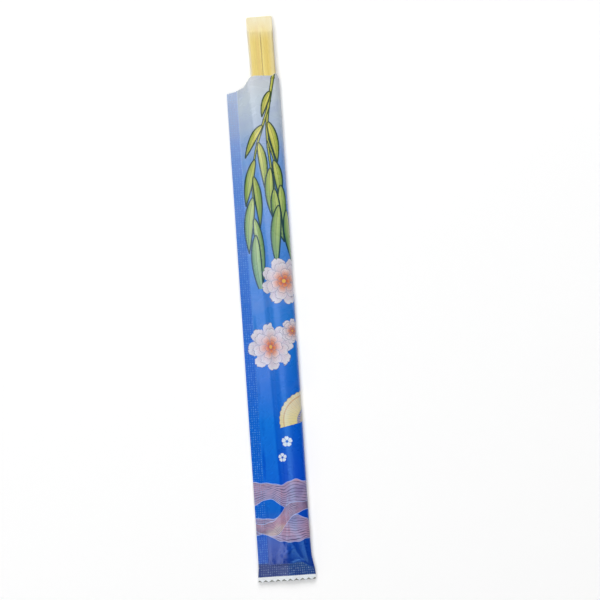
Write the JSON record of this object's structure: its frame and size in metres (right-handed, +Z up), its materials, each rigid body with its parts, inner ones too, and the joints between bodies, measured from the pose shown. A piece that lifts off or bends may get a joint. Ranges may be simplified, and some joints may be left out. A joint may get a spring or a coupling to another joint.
{
  "type": "bamboo chopsticks",
  "caption": "Unsplit bamboo chopsticks in a printed paper sleeve, folded along one side and heat-sealed along the other, with its head torn off and a pinked foot.",
  "frame": {"origin": "middle of the underside of the whole object's box", "axes": "+Y along the sticks towards the handle end, +X towards the sleeve's folded edge, +Z up from the back panel"},
  "size_m": [0.0276, 0.2707, 0.0053],
  "materials": {
    "bamboo": "planed bamboo, pale gold with fine lengthwise fibres",
    "printed_film": "satin coated paper, printed from pale grey-blue at the head to deep blue at the foot"
  },
  "bodies": {
    "root": {"chopstick_pair": "bamboo", "sleeve": "printed_film"}
  },
  "joints": []
}
